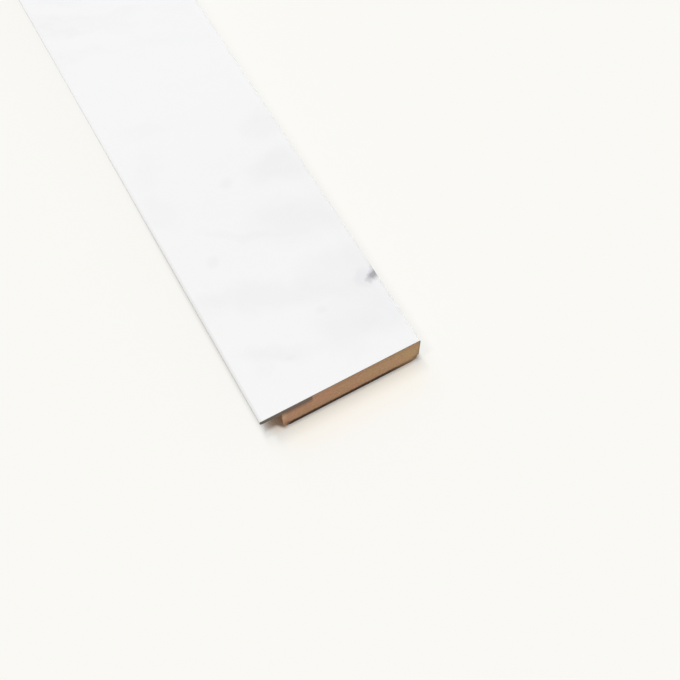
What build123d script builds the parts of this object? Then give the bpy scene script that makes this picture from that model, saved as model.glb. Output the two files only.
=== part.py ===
"""Skirting board: a fibreboard core wrapped in decor foil, with a flexible sealing lip along its floor edge.

The board lies face up on its back, as stock lies on a floor or a bench.
X runs along the board. Y runs across it, from the lip at -Y, which meets the floor once the board is
fixed to a wall, to the top edge at +Y. Z runs up from the back to the decorated face.
The origin is in the middle of the footprint, on the surface that the back rests on.
"""

import os

from build123d import *

# Overall stock size, in millimetres
LENGTH = 2400.0
WIDTH = 60.0
THICKNESS = 14.0

# Decor foil, flush with the lip's edge and wrapped over the face and down the top edge
FOIL_THICKNESS = 0.4

# Sealing lip, bonded into a rebate in the core and free beyond it
LIP_OVERHANG = 8.0
LIP_SEAT_WIDTH = 11.2
LIP_ROOT_THICKNESS = 2.6
LIP_TIP_THICKNESS = 1.9
LIP_BACK_RADIUS = 1.0

# Arrises of the core, the sharper one under the foil
FACE_ARRIS_RADIUS = 0.3
BACK_ARRIS_RADIUS = 3.0

# Lines that the three sections share, across the board (y) and up from its back (z)
lip_outer_y = -WIDTH / 2
core_lip_side_y = lip_outer_y + LIP_OVERHANG
seat_end_y = core_lip_side_y + LIP_SEAT_WIDTH
top_outer_y = WIDTH / 2
core_top_side_y = top_outer_y - FOIL_THICKNESS
face_outer_z = THICKNESS
core_face_z = face_outer_z - FOIL_THICKNESS
seat_z = core_face_z - LIP_ROOT_THICKNESS
lip_tip_z = core_face_z - LIP_TIP_THICKNESS
foil_top_end_z = BACK_ARRIS_RADIUS


def board_length(corners):
    """A solid of the board's length, from the (y, z, radius) corners of its section."""
    points = [(y, z) for y, z, _ in corners]
    radii = [radius for _, _, radius in corners]
    with BuildPart() as stock:
        with BuildSketch(Plane.YZ):
            with BuildLine():
                FilletPolyline(points, radius=radii, close=True)
            make_face()
        extrude(amount=LENGTH / 2, both=True)
    return stock.part


def fibreboard_core():
    """The sawn core: flat on its back, rounded on its arrises and rebated for the lip."""
    return board_length(
        [
            (core_lip_side_y, 0, BACK_ARRIS_RADIUS),
            (core_top_side_y, 0, BACK_ARRIS_RADIUS),
            (core_top_side_y, core_face_z, FACE_ARRIS_RADIUS),
            (seat_end_y, core_face_z, 0),
            (seat_end_y, seat_z, 0),
            (core_lip_side_y, seat_z, 0),
        ]
    )


def sealing_lip():
    """The flexible strip: a root that fills the rebate, and a free lip that thins towards its tip."""
    return board_length(
        [
            (lip_outer_y, lip_tip_z, LIP_BACK_RADIUS),
            (core_lip_side_y, seat_z, 0),
            (seat_end_y, seat_z, 0),
            (seat_end_y, core_face_z, 0),
            (lip_outer_y, core_face_z, 0),
        ]
    )


def decor_foil():
    """The printed film, of one thickness, from the lip's edge over the face to the rounded back corner."""
    return board_length(
        [
            (lip_outer_y, core_face_z, 0),
            (core_top_side_y, core_face_z, FACE_ARRIS_RADIUS),
            (core_top_side_y, foil_top_end_z, 0),
            (top_outer_y, foil_top_end_z, 0),
            (top_outer_y, face_outer_z, FACE_ARRIS_RADIUS + FOIL_THICKNESS),
            (lip_outer_y, face_outer_z, 0),
        ]
    )


os.makedirs("parts", exist_ok=True)
for piece in (fibreboard_core, sealing_lip, decor_foil):
    export_step(piece(), f"parts/{piece.__name__}.step")
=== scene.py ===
"""A length of marble-look skirting board, lying face up on a pale floor."""

import math

import bpy
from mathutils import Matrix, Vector, noise
from mathutils.geometry import delaunay_2d_cdt
from mathutils.kdtree import KDTree


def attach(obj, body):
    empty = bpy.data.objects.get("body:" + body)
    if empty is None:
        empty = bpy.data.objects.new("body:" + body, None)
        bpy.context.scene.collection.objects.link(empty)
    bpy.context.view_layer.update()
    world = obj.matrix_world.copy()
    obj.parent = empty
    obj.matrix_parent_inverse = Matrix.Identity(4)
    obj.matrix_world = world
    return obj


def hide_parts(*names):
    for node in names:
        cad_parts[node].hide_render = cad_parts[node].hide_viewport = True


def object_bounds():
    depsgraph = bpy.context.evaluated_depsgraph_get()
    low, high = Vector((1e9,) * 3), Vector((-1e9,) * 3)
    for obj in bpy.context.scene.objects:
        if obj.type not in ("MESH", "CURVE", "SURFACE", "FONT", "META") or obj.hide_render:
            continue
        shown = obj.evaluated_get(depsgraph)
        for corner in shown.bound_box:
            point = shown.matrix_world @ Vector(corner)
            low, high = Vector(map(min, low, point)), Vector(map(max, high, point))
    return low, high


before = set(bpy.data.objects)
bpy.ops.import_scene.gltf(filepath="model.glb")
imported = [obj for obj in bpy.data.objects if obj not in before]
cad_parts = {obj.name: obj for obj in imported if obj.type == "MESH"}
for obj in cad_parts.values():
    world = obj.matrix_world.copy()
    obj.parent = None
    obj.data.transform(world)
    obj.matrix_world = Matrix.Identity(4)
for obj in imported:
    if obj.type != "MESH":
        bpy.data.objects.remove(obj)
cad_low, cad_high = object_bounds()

MM = 0.001
NEAR_END = cad_high.x
LIP_EDGE = cad_low.y

# The board's size and section, in millimetres
HALF_LENGTH = (cad_high.x - cad_low.x) / 2 / MM
HALF_WIDTH = (cad_high.y - cad_low.y) / 2 / MM
WIDTH = HALF_WIDTH * 2
FACE_HEIGHT = (cad_high.z - cad_low.z) / MM
LIP_OVERHANG = 8.0
FILM_THICKNESS = 0.4
BACK_ARRIS = 3.0

# Share of a spot's radius that it fills evenly
SPOT_CORE = 0.25
# Levels between which most of a noise lies
NOISE_LOW = 0.3
NOISE_HIGH = 0.7
# How squarely a surface has to face along an axis to count as facing that way
FACING_FROM = 0.4
FACING_TO = 0.6


def srgb(red, green, blue):
    """A linear colour from the eight-bit values that a screen shows."""
    def linear(level):
        share = level / 255
        return share / 12.92 if share <= 0.04045 else ((share + 0.055) / 1.055) ** 2.4
    return (linear(red), linear(green), linear(blue), 1.0)


class Nodes:
    """The node tree of one material, with a short call for each kind of node that the materials use."""

    def __init__(self, name):
        self.material = bpy.data.materials.new(name)
        self.material.use_nodes = True
        self.tree = self.material.node_tree
        self.shader = self.tree.nodes["Principled BSDF"]

    def feed(self, socket, value):
        """Link a socket to another node's output, or set it to a constant."""
        if isinstance(value, bpy.types.NodeSocket):
            self.tree.links.new(value, socket)
        else:
            socket.default_value = value

    def surface(self, **inputs):
        """Set the shader's own sockets, named with underscores for spaces."""
        for name, value in inputs.items():
            self.feed(self.shader.inputs[name.replace("_", " ")], value)

    def add(self, kind, inputs, output=0, **settings):
        node = self.tree.nodes.new(kind)
        for name, value in settings.items():
            setattr(node, name, value)
        for key, value in inputs.items():
            self.feed(node.inputs[key], value)
        return node.outputs[output]

    def maths(self, operation, first, second=0.0, third=0.0):
        return self.add("ShaderNodeMath", {0: first, 1: second, 2: third}, operation=operation)

    def chain(self, operation, *values):
        """One operation carried on over several values."""
        result = values[0]
        for value in values[1:]:
            result = self.maths(operation, result, value)
        return result

    def vector(self, operation, first, second=(0, 0, 0), output=0):
        return self.add("ShaderNodeVectorMath", {0: first, 1: second}, output, operation=operation)

    def ramp(self, value, start, end, low=0.0, high=1.0):
        """A smooth step from low, at start, to high, at end."""
        inputs = {"Value": value, "From Min": start, "From Max": end, "To Min": low, "To Max": high}
        return self.add("ShaderNodeMapRange", inputs, interpolation_type="SMOOTHSTEP")

    def vary(self, noise_value, low=0.0, high=1.0):
        """A noise spread out from low to high."""
        return self.ramp(noise_value, NOISE_LOW, NOISE_HIGH, low, high)

    def noise(self, vector, grain, detail=2.0, roughness=0.5, output=0):
        """Noise whose grains have about the given size along each axis."""
        inputs = {
            "Vector": self.vector("DIVIDE", vector, grain),
            "Scale": 1.0,
            "Detail": detail,
            "Roughness": roughness,
        }
        return self.add("ShaderNodeTexNoise", inputs, output)

    def mix(self, factor, first, second, blend="MIX"):
        inputs = {0: factor, 6: first, 7: second}
        return self.add("ShaderNodeMix", inputs, 2, data_type="RGBA", blend_type=blend)

    def bump(self, height, depth, strength):
        inputs = {"Height": height, "Distance": depth, "Strength": strength}
        return self.add("ShaderNodeBump", inputs)

    def place(self):
        """Millimetres across from the lip's edge, along from the near end, and up from the back."""
        row = self.add("ShaderNodeTexCoord", {}, "Object")
        split = self.add("ShaderNodeSeparateXYZ", {0: row}, "X").node
        across = self.maths("MULTIPLY_ADD", split.outputs["Y"], 1 / MM, -LIP_EDGE / MM)
        along = self.maths("MULTIPLY_ADD", split.outputs["X"], -1 / MM, NEAR_END / MM)
        up = self.maths("MULTIPLY", split.outputs["Z"], 1 / MM)
        return across, along, up

    def join(self, x, y, z=0.0):
        return self.add("ShaderNodeCombineXYZ", {0: x, 1: y, 2: z})

    def facing(self, axis):
        """The part of the surface's normal that lies along a row axis."""
        normal = self.add("ShaderNodeNewGeometry", {}, "Normal")
        return self.add("ShaderNodeSeparateXYZ", {0: normal}, axis)

    def sawn_ends(self):
        """1 on the two sawn ends and 0 elsewhere."""
        return self.ramp(self.maths("ABSOLUTE", self.facing("X")), FACING_FROM, FACING_TO)

    def spot(self, flat, centre, size, turn):
        """A soft oval patch, 1 in its middle and 0 at its rim."""
        inputs = {
            "Vector": flat,
            "Location": (*centre, 0.0),
            "Rotation": (0.0, 0.0, math.radians(turn)),
            "Scale": (*size, 1.0),
        }
        oval = self.add("ShaderNodeMapping", inputs, vector_type="TEXTURE")
        return self.ramp(self.vector("LENGTH", oval, output=1), 1.0, SPOT_CORE)


def dress(piece, nodes):
    """Give a piece one material in place of those it has."""
    piece.data.materials.clear()
    piece.data.materials.append(nodes.material)


# Marble print near the end in view: across, along, half length, half width, turn in degrees, depth
CLOUDS = (
    (48.0, 33.0, 20.0, 17.0, -20.0, 0.058),
    (40.0, 15.0, 15.0, 12.0, -30.0, 0.052),
    (23.0, 40.0, 26.0, 9.0, -25.0, 0.050),
    (4.0, 45.0, 9.0, 9.0, 10.0, 0.028),
    (25.0, 66.0, 20.0, 2.8, -31.0, 0.034),
    (46.0, 61.0, 25.0, 12.5, -18.0, 0.044),
    (51.5, 84.0, 16.0, 11.0, -25.0, 0.056),
    (55.0, 102.5, 12.0, 9.0, -18.0, 0.048),
    (17.0, 19.0, 18.0, 5.5, -27.0, 0.050),
    (15.0, 121.0, 14.0, 6.5, -20.0, 0.012),
    (60.0, 46.0, 9.0, 60.0, 0.0, 0.016),
)
SPECKS = (
    (36.8, 26.0, 2.8, 2.2, -20.0, 0.040),
    (19.5, 15.4, 2.4, 1.4, -20.0, 0.030),
    (31.8, 86.7, 3.8, 3.0, 20.0, 0.045),
    (13.3, 60.0, 3.4, 3.8, 0.0, 0.042),
)
SMUDGES = (
    (58.7, 29.2, 3.1, 2.5, 14.0, 0.78),
    (59.9, 31.4, 1.3, 2.4, -8.0, 0.26),
    (56.2, 27.9, 1.3, 2.2, 24.0, 0.28),
)
COOL_TAILS = (
    (55.8, 29.3, 3.8, 4.6, -12.0, 0.13),
    (54.0, 15.0, 13.0, 12.0, -20.0, 0.080),
    (9.5, 104.0, 7.0, 12.0, -20.0, 0.034),
    (6.5, 86.0, 7.0, 12.0, 10.0, 0.040),
    (10.0, 16.0, 5.0, 6.0, 20.0, 0.030),
)

# How the print's shapes wander: the size of the bends and their reach, in millimetres
DRIFT = (11.0, 9.0)
FRAY = (2.2, 1.6)
CRISP_FRAY = (2.0, 2.0)

# Print on the rest of the stock: its turn in degrees, and sizes in millimetres along and across the bands
BAND_TURN = -18.0
BAND_GRAIN = (40.0, 13.0, 1.0)
VEIN_GRAIN = (34.0, 10.0, 1.0)
KNOT_GRAIN = (120.0, 60.0, 1.0)
PATCH_GRAIN = (130.0, 130.0, 130.0)
SPECKLE_GRAIN = (0.5, 0.5, 0.5)
SPECKLE_DEPTH = 0.012

# Soft steps of the print: where each begins and ends, and its value there
BANDS_BY_NOISE = (0.45, 0.60, 0.0, 0.055)
VEINS_BY_NOISE = (0.05, 0.0, 0.0, 1.0)
VEINS_BY_BANDS = (0.44, 0.62, 0.0, 0.045)
PATCHES_BY_NOISE = (0.38, 0.56, 0.0, 1.0)
CLOUDS_BY_BANDS = (0.30, 0.65, 0.75, 1.2)
KNOTS_BY_DISTANCE = (0.034, 0.004, 0.0, 0.7)
KNOTS_CHOSEN = (0.52, 0.56, 0.0, 1.0)
BANDS_BEGIN = (130.0, 240.0, 0.06, 1.0)
KNOTS_BEGIN = (200.0, 240.0, 0.0, 1.0)
FILM_LIT_LIGHTER_ON = (60.0, 160.0, 0.0, 1.0)
EDGE_SHADE_BY_EDGE = (1.3, 0.1, 0.0, 1.0)
EDGE_SHADE_FADES = (20.0, 160.0, 0.17, 0.03)
DUST_BY_HEIGHT = (13.0, 9.5, 0.0, 0.85)

# Film surface: sizes in millimetres, and its least and greatest roughness
SHEEN_GRAIN = (6.0, 6.0, 6.0)
DIMPLE_GRAIN = (1.2, 1.2, 1.2)
DIMPLE_DEPTH = 0.02
DIMPLE_STRENGTH = 0.25
CUT_GRAIN = (0.4, 0.4, 0.15)
FILM_ROUGHNESS = (0.47, 0.55)

FILM_AT_END = srgb(244, 244, 244)
FILM_LIT_FURTHER_ON = srgb(246, 246, 247)
VEIN_GREY = srgb(148, 148, 152)
COOL_GREY = srgb(190, 188, 212)
EDGE_SHADE_GREY = srgb(120, 118, 114)
CUT_FILM_DARK = srgb(78, 74, 63)
CUT_FILM_PALE = srgb(118, 112, 97)
FIBRE_DUST = srgb(158, 124, 92)


def marble_film():
    nodes = Nodes("marble_film")
    across, along, up = nodes.place()
    # The print runs on over the arris and down the top edge, as on a flat sheet
    fold = nodes.maths("SUBTRACT", FACE_HEIGHT, up)
    side = nodes.maths("SIGN", nodes.maths("SUBTRACT", across, HALF_WIDTH))
    flat = nodes.join(nodes.maths("MULTIPLY_ADD", fold, side, across), along)

    def wander(size, reach):
        bends = nodes.noise(flat, (size, size, size), output="Color")
        offset = nodes.vector("SUBTRACT", bends, (0.5, 0.5, 0.5))
        return nodes.vector("MULTIPLY", offset, (reach, reach, 0.0))

    drift = nodes.vector("ADD", flat, wander(*DRIFT))
    ragged = nodes.vector("ADD", drift, wander(*FRAY))
    crisp = nodes.vector("ADD", flat, wander(*CRISP_FRAY))

    def marks(rows, vector):
        return nodes.chain("ADD", *(
            nodes.maths("MULTIPLY", nodes.spot(vector, (x, y), (length, width), turn), depth)
            for x, y, length, width, turn, depth in rows
        ))

    # Past the end in view, the same soft bands and rare dark smudges go on along the stock
    turned = {"Vector": ragged, "Rotation": (0, 0, math.radians(BAND_TURN))}
    banded = nodes.add("ShaderNodeMapping", turned, vector_type="TEXTURE")
    cloudy = nodes.noise(banded, BAND_GRAIN, detail=4.0)
    bands = nodes.ramp(cloudy, *BANDS_BY_NOISE)
    veined = nodes.maths("SUBTRACT", nodes.noise(banded, VEIN_GRAIN, detail=3.0), 0.5)
    veined = nodes.ramp(nodes.maths("ABSOLUTE", veined), *VEINS_BY_NOISE)
    veins = nodes.maths("MULTIPLY", veined, nodes.ramp(cloudy, *VEINS_BY_BANDS))
    patch = nodes.ramp(nodes.noise(flat, PATCH_GRAIN, detail=1.0), *PATCHES_BY_NOISE)
    begun = nodes.ramp(along, *BANDS_BEGIN)
    grown = nodes.chain("MULTIPLY", nodes.maths("ADD", bands, veins), patch, begun)
    spaced = {"Vector": nodes.vector("DIVIDE", banded, KNOT_GRAIN), "Scale": 1.0}
    cells = nodes.add("ShaderNodeTexVoronoi", spaced, "Distance", voronoi_dimensions="2D")
    knots = nodes.chain(
        "MULTIPLY",
        nodes.ramp(cells, *KNOTS_BY_DISTANCE),
        nodes.ramp(cells.node.outputs["Color"], *KNOTS_CHOSEN),
        nodes.ramp(along, *KNOTS_BEGIN),
    )

    near = nodes.maths("MULTIPLY", marks(CLOUDS, ragged), nodes.ramp(cloudy, *CLOUDS_BY_BANDS))
    speckle = nodes.vary(nodes.noise(flat, SPECKLE_GRAIN), 0.0, SPECKLE_DEPTH)
    spots = nodes.maths("ADD", marks(SPECKS, crisp), marks(SMUDGES, crisp))
    depth = nodes.maths("MINIMUM", nodes.chain("ADD", grown, knots, near, spots, speckle), 1.0)
    # Painted light: the film's ground is a little lighter away from the near end
    ground = nodes.mix(nodes.ramp(along, *FILM_LIT_LIGHTER_ON), FILM_AT_END, FILM_LIT_FURTHER_ON)
    print_colour = nodes.mix(depth, ground, VEIN_GREY)
    print_colour = nodes.mix(marks(COOL_TAILS, ragged), print_colour, COOL_GREY)
    # Painted shade: grey along the edge over the lip, strongest near the sawn end
    edge_shade_fade = nodes.ramp(along, *EDGE_SHADE_FADES)
    edge_shade = nodes.maths("MULTIPLY", nodes.ramp(across, *EDGE_SHADE_BY_EDGE), edge_shade_fade)
    print_colour = nodes.mix(edge_shade, print_colour, EDGE_SHADE_GREY)

    # Bare cut edges of the film, on the sawn ends and where it stops on the top edge
    under = nodes.ramp(nodes.facing("Z"), -FACING_FROM, -FACING_TO)
    cut = nodes.maths("MAXIMUM", nodes.sawn_ends(), under)
    cut_tone = nodes.noise(nodes.join(across, along, up), CUT_GRAIN)
    cut_colour = nodes.mix(cut_tone, CUT_FILM_DARK, CUT_FILM_PALE)
    cut_colour = nodes.mix(nodes.ramp(up, *DUST_BY_HEIGHT), cut_colour, FIBRE_DUST)
    nodes.surface(
        Base_Color=nodes.mix(cut, print_colour, cut_colour),
        Roughness=nodes.vary(nodes.noise(flat, SHEEN_GRAIN, detail=3.0), *FILM_ROUGHNESS),
        Specular_IOR_Level=0.25,
        Normal=nodes.bump(nodes.noise(flat, DIMPLE_GRAIN), DIMPLE_DEPTH * MM, DIMPLE_STRENGTH),
    )
    return nodes


# Sizes of the fibreboard's grain across, along and up, in millimetres
FLECK_GRAIN = (0.9, 0.5, 0.22)
CLUMP_GRAIN = (3.0, 3.0, 1.4)
MILLED_GRAIN = (0.5, 40.0, 0.5)
WARMTH_GRAIN = (9.0, 9.0, 7.0)
BACK_BAND_GRAIN = (1.6, 1.6, 1.6)
BACK_BAND_RAG = 0.5

# Soft steps of the fibreboard: where each begins and ends, and its value there
FLECKS_BY_NOISE = (0.28, 0.72, 0.0, 1.0)
WARMTH_BY_NOISE = (0.38, 0.62, 0.0, 1.0)
TINT_ACROSS = (26.0, 58.0, 0.0, 1.0)
DENSE_BY_HEIGHT = (9.0, 12.6, 0.0, 0.25)
HIGHLIGHT_ACROSS = (10.2, 8.4, 0.0, 0.55)
HIGHLIGHT_BY_HEIGHT = (4.0, 8.0, 0.25, 1.0)
BACK_BAND_BY_DEPTH = (2.7, 1.4, 0.0, 1.0)
BACK_BAND_BY_HEIGHT = (4.8, 1.8, 0.0, 1.0)
BACK_BAND_AT_TOP = (58.0, 47.0, 0.45, 0.95)
BACK_BAND_AT_LIP = (8.6, 11.2, 0.25, 1.0)
UNDER_SEAT_BY_HEIGHT = (7.8, 10.6, 0.0, 1.0)
UNDER_SEAT_ACROSS = (20.0, 18.4, 0.0, 0.5)

# Fibreboard surface: shares of the darker grains, bump in millimetres and as a share, and roughness
CLUMP_SHARE = 0.35
MILLED_FLECK_SHARE = 0.3
FIBRE_BUMP = 0.12
FIBRE_BUMP_STRENGTH = 0.6
FIBRE_ROUGHNESS = (0.82, 0.95)

FIBRE_BROWN = srgb(188, 147, 112)
FIBRE_PALE = srgb(223, 182, 142)
CLUMP_BROWN = srgb(190, 149, 113)
GREENER = (0.97, 1.03, 0.94, 1.0)
TINT_AT_LIP = (0.91, 0.81, 0.86, 1.0)
TINT_AT_TOP = (0.93, 0.93, 0.89, 1.0)
MILLED_DARK = srgb(131, 97, 71)
MILLED_PALE = srgb(151, 114, 85)
MILLED_FLECK = srgb(122, 90, 66)
DENSE_BROWN = srgb(150, 112, 84)
HIGHLIGHT_PALE = srgb(226, 186, 152)
BACK_BAND_BROWN = srgb(58, 41, 30)
UNDER_SEAT_BROWN = srgb(104, 82, 64)

# Saw arcs in the material: how far they bow, how the clumps shift them, their turns and their weight
ARC_BOW = 0.035
ARC_SHIFT = 0.8
ARC_TURNS = 5.2
ARC_WEIGHT = 0.12


def fibreboard():
    nodes = Nodes("fibreboard")
    across, along, up = nodes.place()
    place = nodes.join(across, along, up)
    sawn = nodes.sawn_ends()

    # Pressed fibres lie flat in the board, so a sawn end shows short level flecks
    flecks = nodes.noise(place, FLECK_GRAIN, 3.0, 0.6)
    clumps = nodes.noise(place, CLUMP_GRAIN)
    lines = nodes.noise(place, MILLED_GRAIN, 3.0, 0.6)
    warmth = nodes.ramp(nodes.noise(place, WARMTH_GRAIN), *WARMTH_BY_NOISE)
    fibre = nodes.mix(nodes.ramp(flecks, *FLECKS_BY_NOISE), FIBRE_BROWN, FIBRE_PALE)
    fibre = nodes.mix(nodes.vary(clumps, 0.0, CLUMP_SHARE), fibre, CLUMP_BROWN)
    fibre = nodes.mix(warmth, fibre, GREENER, "MULTIPLY")
    tint = nodes.mix(nodes.ramp(across, *TINT_ACROSS), TINT_AT_LIP, TINT_AT_TOP)
    fibre = nodes.mix(1.0, fibre, tint, "MULTIPLY")
    milled = nodes.mix(nodes.vary(lines), MILLED_DARK, MILLED_PALE)
    milled = nodes.mix(nodes.vary(flecks, 0.0, MILLED_FLECK_SHARE), milled, MILLED_FLECK)
    body = nodes.mix(sawn, milled, fibre)
    dense = nodes.maths("MULTIPLY", nodes.ramp(up, *DENSE_BY_HEIGHT), sawn)
    body = nodes.mix(dense, body, DENSE_BROWN)

    # Painted highlight: paler brown along the lit sawn edge at the lip's side
    edge = nodes.ramp(across, *HIGHLIGHT_ACROSS)
    painted_highlight = nodes.chain("MULTIPLY", edge, sawn, nodes.ramp(up, *HIGHLIGHT_BY_HEIGHT))
    body = nodes.mix(painted_highlight, body, HIGHLIGHT_PALE)

    # Darker towards the back, following both rounded arrises and fading at them
    past_lip_side = nodes.maths("SUBTRACT", LIP_OVERHANG + BACK_ARRIS, across)
    past_top_side = nodes.maths("SUBTRACT", across, WIDTH - FILM_THICKNESS - BACK_ARRIS)
    corner_across = nodes.chain("MAXIMUM", past_lip_side, past_top_side, 0.0)
    corner_up = nodes.maths("MAXIMUM", nodes.maths("SUBTRACT", BACK_ARRIS, up), 0.0)
    reach = nodes.vector("LENGTH", nodes.join(corner_across, corner_up), output=1)
    ragged = nodes.maths("MULTIPLY_ADD", nodes.noise(place, BACK_BAND_GRAIN, 3.0), BACK_BAND_RAG, -BACK_BAND_RAG / 2)
    inside = nodes.maths("ADD", nodes.maths("SUBTRACT", BACK_ARRIS, reach), ragged)
    back_band = nodes.chain(
        "MULTIPLY",
        nodes.ramp(inside, *BACK_BAND_BY_DEPTH),
        nodes.ramp(up, *BACK_BAND_BY_HEIGHT),
        nodes.ramp(across, *BACK_BAND_AT_TOP),
        nodes.ramp(across, *BACK_BAND_AT_LIP),
    )
    body = nodes.mix(back_band, body, BACK_BAND_BROWN)

    # Darker on the sawn end just under the seat of the lip
    seat = nodes.ramp(across, *UNDER_SEAT_ACROSS)
    under_seat = nodes.chain("MULTIPLY", nodes.ramp(up, *UNDER_SEAT_BY_HEIGHT), seat, sawn)
    body = nodes.mix(under_seat, body, UNDER_SEAT_BROWN)

    # Faint arcs of the saw, and the fuzz between them
    sweep = nodes.maths("MULTIPLY_ADD", nodes.maths("MULTIPLY", up, up), ARC_BOW, across)
    sweep = nodes.maths("MULTIPLY_ADD", clumps, ARC_SHIFT, sweep)
    arcs = nodes.maths("MULTIPLY", nodes.maths("SINE", nodes.maths("MULTIPLY", sweep, ARC_TURNS)), sawn)
    rough = nodes.maths("MULTIPLY_ADD", arcs, ARC_WEIGHT, nodes.mix(sawn, lines, flecks))
    nodes.surface(
        Base_Color=body,
        Roughness=nodes.vary(flecks, *FIBRE_ROUGHNESS),
        Specular_IOR_Level=0.25,
        Normal=nodes.bump(rough, FIBRE_BUMP * MM, FIBRE_BUMP_STRENGTH),
    )
    return nodes


# Sizes of the lip's pores and drawn lines, in millimetres, and its least and greatest roughness
PORE_GRAIN = (0.35, 0.35, 0.3)
DRAWN_GRAIN = (0.4, 30.0, 0.4)
PORE_DEPTH = 0.06
PORE_STRENGTH = 0.5
LIP_ROUGHNESS = (0.55, 0.72)

# Soft steps of the lip: where each begins and ends, and its value there
LIP_EDGE_LIT_LIGHTER = (0.0, 160.0, 0.0, 1.0)
PALE_EDGE_FACING = (-0.3, -0.9, 0.0, 1.0)
ROOT_ACROSS = (4.0, 7.5, 0.0, 0.55)
PALE_EDGE_SHARE = (0.6, 1.0)

RUBBER_DARK = srgb(87, 79, 69)
RUBBER_PALE = srgb(114, 105, 93)
PALE_EDGE_AT_END = srgb(230, 227, 222)
PALE_EDGE_LIT_FURTHER_ON = srgb(246, 245, 242)
ROOT_BROWN = srgb(116, 88, 70)


def lip_rubber():
    nodes = Nodes("lip_rubber")
    across, along, up = nodes.place()
    place = nodes.join(across, along, up)
    sawn = nodes.sawn_ends()
    pores = nodes.noise(place, PORE_GRAIN, 3.0, 0.6)
    drawn = nodes.noise(place, DRAWN_GRAIN, 3.0, 0.6)
    tone = nodes.mix(sawn, drawn, pores)
    rubber = nodes.mix(nodes.vary(tone), RUBBER_DARK, RUBBER_PALE)
    # The edge that meets the floor is paler, and painted lighter still away from the near end
    lit_lighter = nodes.ramp(along, *LIP_EDGE_LIT_LIGHTER)
    pale_edge = nodes.maths("MAXIMUM", nodes.vary(tone, *PALE_EDGE_SHARE), lit_lighter)
    pale_edge = nodes.maths("MULTIPLY", pale_edge, nodes.ramp(nodes.facing("Y"), *PALE_EDGE_FACING))
    rubber = nodes.mix(pale_edge, rubber, nodes.mix(lit_lighter, PALE_EDGE_AT_END, PALE_EDGE_LIT_FURTHER_ON))
    # Fibre dust and glue brown the cut towards the root
    browned = nodes.maths("MULTIPLY", nodes.ramp(across, *ROOT_ACROSS), sawn)
    rubber = nodes.mix(browned, rubber, ROOT_BROWN)
    nodes.surface(
        Base_Color=rubber,
        Roughness=nodes.vary(tone, *LIP_ROUGHNESS),
        Specular_IOR_Level=0.35,
        Normal=nodes.bump(tone, PORE_DEPTH * MM, PORE_STRENGTH),
    )
    return nodes


# Relief of the core's sawn ends, in millimetres
END_GRAIN = 0.35
SAW_PITCH = 1.3
SAW_BOW = 0.035
SAW_DEPTH = 0.03
FIBRE_SIZE = (1.1, 0.45)
FIBRE_DEPTH = 0.12

# Torn fibres: dimension, lacunarity and octaves of their noise, its bias, and the step between the two ends
FIBRE_FRACTAL = (0.8, 2.0, 3)
FIBRE_BIAS = 0.35
FIBRE_STEP = 7.3

# Meshing of the ends
END_FACING = 0.9
DECIMALS = 3
RIM_CLEARANCE = 0.6
INSIDE_ONLY = 1
MERGE_DISTANCE = 1e-5
SHARP_ANGLE = 40


def section_outline(mesh):
    """The corners of a node's section, in order round its near end, in millimetres."""
    def corner(index):
        return tuple(round(place / MM, DECIMALS) for place in mesh.vertices[index].co.yz)

    edges = set()
    for face in mesh.polygons:
        if face.normal.x > END_FACING:
            ring = [corner(index) for index in face.vertices]
            edges.update(zip(ring, ring[1:] + ring[:1]))
    following = {start: end for start, end in edges if (end, start) not in edges}
    outline = [min(following)]
    while len(outline) < len(following):
        outline.append(following[outline[-1]])
    return outline


def divided(outline, spacing):
    """The same outline, with points no further apart than the spacing."""
    points = []
    for start, end in zip(outline, outline[1:] + outline[:1]):
        steps = math.ceil(math.dist(start, end) / spacing)
        points += [Vector(start).lerp(Vector(end), step / steps) for step in range(steps)]
    return points


def fine_end(rim, spacing):
    """Points and triangles of about the given spacing inside the rim, with the rim's points first."""
    tree = KDTree(len(rim))
    for index, point in enumerate(rim):
        tree.insert(point.to_3d(), index)
    tree.balance()
    inner = []
    rows = math.ceil(max(point.y for point in rim) / spacing)
    columns = math.ceil(WIDTH / spacing)
    for row in range(1, rows):
        for column in range(columns):
            point = Vector((spacing * (column + row % 2 / 2) - HALF_WIDTH, spacing * row))
            _, _, distance = tree.find(point.to_3d())
            if distance > spacing * RIM_CLEARANCE:
                inner.append(point)
    border = list(range(len(rim)))
    points, _, faces, *_ = delaunay_2d_cdt(rim + inner, [], [border], INSIDE_ONLY, MERGE_DISTANCE)
    used = sorted({corner for face in faces for corner in face})
    number = {old: new for new, old in enumerate(used)}
    return [points[old] for old in used], [[number[corner] for corner in face] for face in faces]


def sawn_depth(point, end):
    """How deep the saw and the torn fibres went at a point of an end, in millimetres."""
    sweep = (point.x + SAW_BOW * point.y ** 2) / SAW_PITCH
    saw = 0.5 + 0.5 * math.sin(2 * math.pi * sweep)
    place = (point.x / FIBRE_SIZE[0], point.y / FIBRE_SIZE[1], FIBRE_STEP * end)
    fibre = FIBRE_BIAS + noise.fractal(place, *FIBRE_FRACTAL)
    return SAW_DEPTH * saw + FIBRE_DEPTH * min(max(fibre, 0.0), 1.0)


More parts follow.
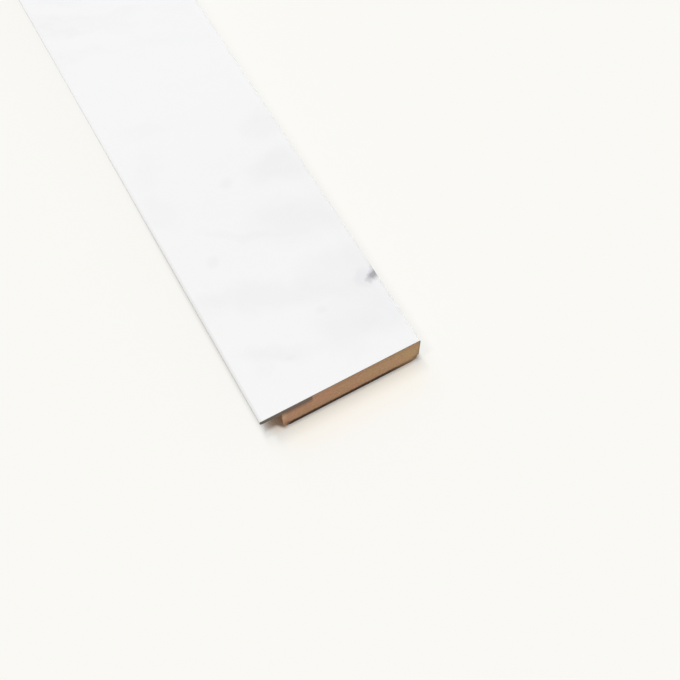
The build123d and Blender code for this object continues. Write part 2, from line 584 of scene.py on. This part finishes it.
def sawn_core():
    """The core with its two ends as the saw left them, cut into the solid by a fraction of a millimetre."""
    rim = divided(section_outline(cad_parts["fibreboard_core"].data), END_GRAIN)
    points, faces = fine_end(rim, END_GRAIN)
    count = len(points)
    vertices = []
    for end in (1, -1):
        for index, point in enumerate(points):
            depth = 0.0 if index < len(rim) else sawn_depth(point, end)
            vertices.append((end * (HALF_LENGTH - depth) * MM, point.x * MM, point.y * MM))
    far_faces = [[count + corner for corner in reversed(face)] for face in faces]
    following = list(range(1, len(rim))) + [0]
    sides = [(near, count + near, count + after, after) for near, after in enumerate(following)]
    mesh = bpy.data.meshes.new("sawn_core")
    mesh.from_pydata(vertices, [], faces + far_faces + sides)
    mesh.shade_smooth()
    mesh.set_sharp_from_angle(angle=math.radians(SHARP_ANGLE))
    core = bpy.data.objects.new("sawn_core", mesh)
    bpy.context.scene.collection.objects.link(core)
    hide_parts("fibreboard_core")
    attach(core, "root")
    return core


dress(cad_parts["decor_foil"], marble_film())
dress(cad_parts["sealing_lip"], lip_rubber())
dress(sawn_core(), fibreboard())

# Pale floor, shown nearly as bright as it is painted, with the board's soft shadow on it
FLOOR_REACH = 30
FLOOR_COLOUR = srgb(250, 249, 245)
GLOW_COLOUR = srgb(250, 243, 229)
RECESS_BOUNCE_COLOUR = srgb(248, 216, 186)
SHADE_COLOUR = srgb(243, 242, 238)

# Soft steps on the floor: where each begins and ends in millimetres, and its value there
RECESS_FROM_TIP = (2.0, 7.0, 0.0, 1.0)
RECESS_TO_CORE = (10.0, 8.5, 0.0, 1.0)
RECESS_TO_END = (1.6, -0.8, 0.0, 1.0)
OPEN_CORNER = (LIP_OVERHANG + 0.6, LIP_OVERHANG - 2.0, 0.0, 2.2)
LIFT_AT_ENDS = (-0.4, 1.6, 0.0, 0.5)
LIFT_AT_TIP = (LIP_OVERHANG, 3.0, 0.0, 0.75)
TIP_TO_END = (-1.5, 1.5, 0.0, 1.0)
LIP_SHADE_FADES = (40.0, 220.0, 0.0, 2.4)
LIFT_AT_LIP = (3.2, -0.1, 0.0, 0.93)
LIFT_AT_TOP_EDGE = (WIDTH, WIDTH + 2.0, 0.0, 0.85)
GLOW_FROM_TIP = (0.0, 14.0, 0.0, 1.0)
GLOW_TO_TOP = (WIDTH + 6.0, WIDTH - 8.0, 0.0, 1.0)
GLOW_TO_END = (16.0, 2.0, 0.0, 1.0)
SHADE_FROM_TOP = (WIDTH - 2.0, WIDTH + 2.0, 0.0, 1.0)
SHADE_TO_FLOOR = (WIDTH + 7.5, WIDTH + 4.0, 0.0, 1.0)
SHADE_FADES = (10.0, 170.0, 1.0, 0.35)
SHADE_TO_END = (1.0, -1.0, 0.0, 1.0)


def floor_paint():
    """Paint that shows part of its own colour to the eye, and the rest as the lamps light it."""
    paint = Nodes("floor_paint")
    paint.tree.nodes.remove(paint.shader)
    rays = paint.add("ShaderNodeLightPath", {}).node.outputs
    seen = paint.chain("MAXIMUM", rays["Is Camera Ray"], rays["Is Glossy Ray"], rays["Is Transmission Ray"])
    across, along, _ = paint.place()
    middle = paint.maths("ABSOLUTE", paint.maths("SUBTRACT", along, HALF_LENGTH))
    beyond = paint.maths("SUBTRACT", middle, HALF_LENGTH)

    # Lit part, with warm light bounced from the bare core painted on it under the lip
    recess_bounce = paint.chain(
        "MULTIPLY",
        paint.ramp(across, *RECESS_FROM_TIP),
        paint.ramp(across, *RECESS_TO_CORE),
        paint.ramp(beyond, *RECESS_TO_END),
    )
    lit = paint.add("ShaderNodeBsdfDiffuse", {"Color": paint.mix(recess_bounce, FLOOR_COLOUR, RECESS_BOUNCE_COLOUR)})

    # Share shown at its own colour: none under the board, more past its ends, lip and top edge
    open_corner = paint.ramp(across, *OPEN_CORNER)
    past_end = paint.ramp(paint.maths("ADD", beyond, open_corner), *LIFT_AT_ENDS)
    beside_tip = paint.ramp(across, *LIFT_AT_TIP)
    past_tip = paint.maths("MULTIPLY", beside_tip, paint.ramp(beyond, *TIP_TO_END))
    opened = paint.ramp(along, *LIP_SHADE_FADES)
    past_lip = paint.ramp(paint.maths("SUBTRACT", across, opened), *LIFT_AT_LIP)
    past_top = paint.ramp(across, *LIFT_AT_TOP_EDGE)
    lift = paint.maths("MULTIPLY", paint.chain("MAXIMUM", past_end, past_tip, past_lip, past_top), seen)

    # Painted warm glow of light bounced from the sawn ends in front of them, and a painted faint shade past
    # the top edge
    glow = paint.chain(
        "MULTIPLY",
        paint.ramp(across, *GLOW_FROM_TIP),
        paint.ramp(across, *GLOW_TO_TOP),
        paint.ramp(beyond, *GLOW_TO_END),
    )
    shade = paint.chain(
        "MULTIPLY",
        paint.ramp(across, *SHADE_FROM_TOP),
        paint.ramp(across, *SHADE_TO_FLOOR),
        paint.ramp(along, *SHADE_FADES),
        paint.ramp(beyond, *SHADE_TO_END),
    )
    shown = paint.mix(shade, paint.mix(glow, FLOOR_COLOUR, GLOW_COLOUR), SHADE_COLOUR)
    plain = paint.add("ShaderNodeEmission", {"Color": shown, "Strength": 1.0})
    both = paint.add("ShaderNodeMixShader", {0: lift, 1: lit, 2: plain})
    paint.feed(paint.tree.nodes["Material Output"].inputs["Surface"], both)
    return paint


floor_mesh = bpy.data.meshes.new("floor")
floor_corners = [(x * FLOOR_REACH, y * FLOOR_REACH, 0) for x, y in ((-1, -1), (1, -1), (1, 1), (-1, 1))]
floor_mesh.from_pydata(floor_corners, [], [(0, 1, 2, 3)])
floor = bpy.data.objects.new("floor", floor_mesh)
bpy.context.scene.collection.objects.link(floor)
dress(floor, floor_paint())

# Even pale surroundings, which the eye sees in the floor's colour
WORLD_LIGHT = 0.35
world = bpy.data.worlds.new("world")
bpy.context.scene.world = world
world.use_nodes = True
sky = world.node_tree
rays = sky.nodes.new("ShaderNodeLightPath")
seen_or_mirrored = sky.nodes.new("ShaderNodeMath")
seen_or_mirrored.operation = "MAXIMUM"
sky.links.new(rays.outputs["Is Camera Ray"], seen_or_mirrored.inputs[0])
sky.links.new(rays.outputs["Is Glossy Ray"], seen_or_mirrored.inputs[1])
seen_at_all = sky.nodes.new("ShaderNodeMath")
seen_at_all.operation = "MAXIMUM"
sky.links.new(seen_or_mirrored.outputs[0], seen_at_all.inputs[0])
sky.links.new(rays.outputs["Is Transmission Ray"], seen_at_all.inputs[1])
backdrop = sky.nodes.new("ShaderNodeMix")
backdrop.data_type = "RGBA"
backdrop.inputs[6].default_value = (WORLD_LIGHT, WORLD_LIGHT, WORLD_LIGHT, 1)
backdrop.inputs[7].default_value = FLOOR_COLOUR
sky.links.new(seen_at_all.outputs[0], backdrop.inputs[0])
sky.links.new(backdrop.outputs[2], sky.nodes["Background"].inputs["Color"])


def add_sun(name, towards, spread, level):
    """A soft sun that lights a level surface to the given share of full white."""
    direction = Vector(towards).normalized()
    lamp = bpy.data.lights.new(name, "SUN")
    lamp.angle = math.radians(spread)
    lamp.energy = math.pi * level / direction.z
    sun = bpy.data.objects.new(name, lamp)
    sun.rotation_mode = "QUATERNION"
    sun.rotation_quaternion = direction.to_track_quat("Z", "Y")
    bpy.context.scene.collection.objects.link(sun)


# Soft key light from nearly overhead, and a weak fill from the top edge's side
FILL_LIGHT = 0.1
KEY_LIGHT = 1 - WORLD_LIGHT - FILL_LIGHT
add_sun("key", towards=(-0.18, -0.17, 1.0), spread=31, level=KEY_LIGHT)
add_sun("fill", towards=(0.1, 0.85, 0.55), spread=50, level=FILL_LIGHT)

# Camera: its place from the lip's edge and the near end in millimetres, its turn and tilt in degrees
CAMERA_ACROSS = -43.963
CAMERA_ALONG = -131.095
CAMERA_UP = 351.423
CAMERA_YAW = 29.245
CAMERA_PITCH = 63.915
FOCAL_PIXELS = 1138.09
PICTURE_PIXELS = 680
SENSOR_WIDTH = 36
CLIP_START = 0.01
camera_data = bpy.data.cameras.new("camera")
camera = bpy.data.objects.new("camera", camera_data)
bpy.context.scene.collection.objects.link(camera)
camera_data.sensor_width = SENSOR_WIDTH
camera_data.lens = SENSOR_WIDTH * FOCAL_PIXELS / PICTURE_PIXELS
camera_data.clip_start = CLIP_START
yaw = math.radians(CAMERA_YAW)
pitch = math.radians(CAMERA_PITCH)
forward = Vector((-math.cos(yaw) * math.cos(pitch), math.sin(yaw) * math.cos(pitch), -math.sin(pitch)))
camera.location = (NEAR_END - CAMERA_ALONG * MM, LIP_EDGE + CAMERA_ACROSS * MM, CAMERA_UP * MM)
camera.rotation_mode = "QUATERNION"
camera.rotation_quaternion = forward.to_track_quat("-Z", "Y")
bpy.context.scene.camera = camera

bpy.context.scene.view_settings.view_transform = "Standard"
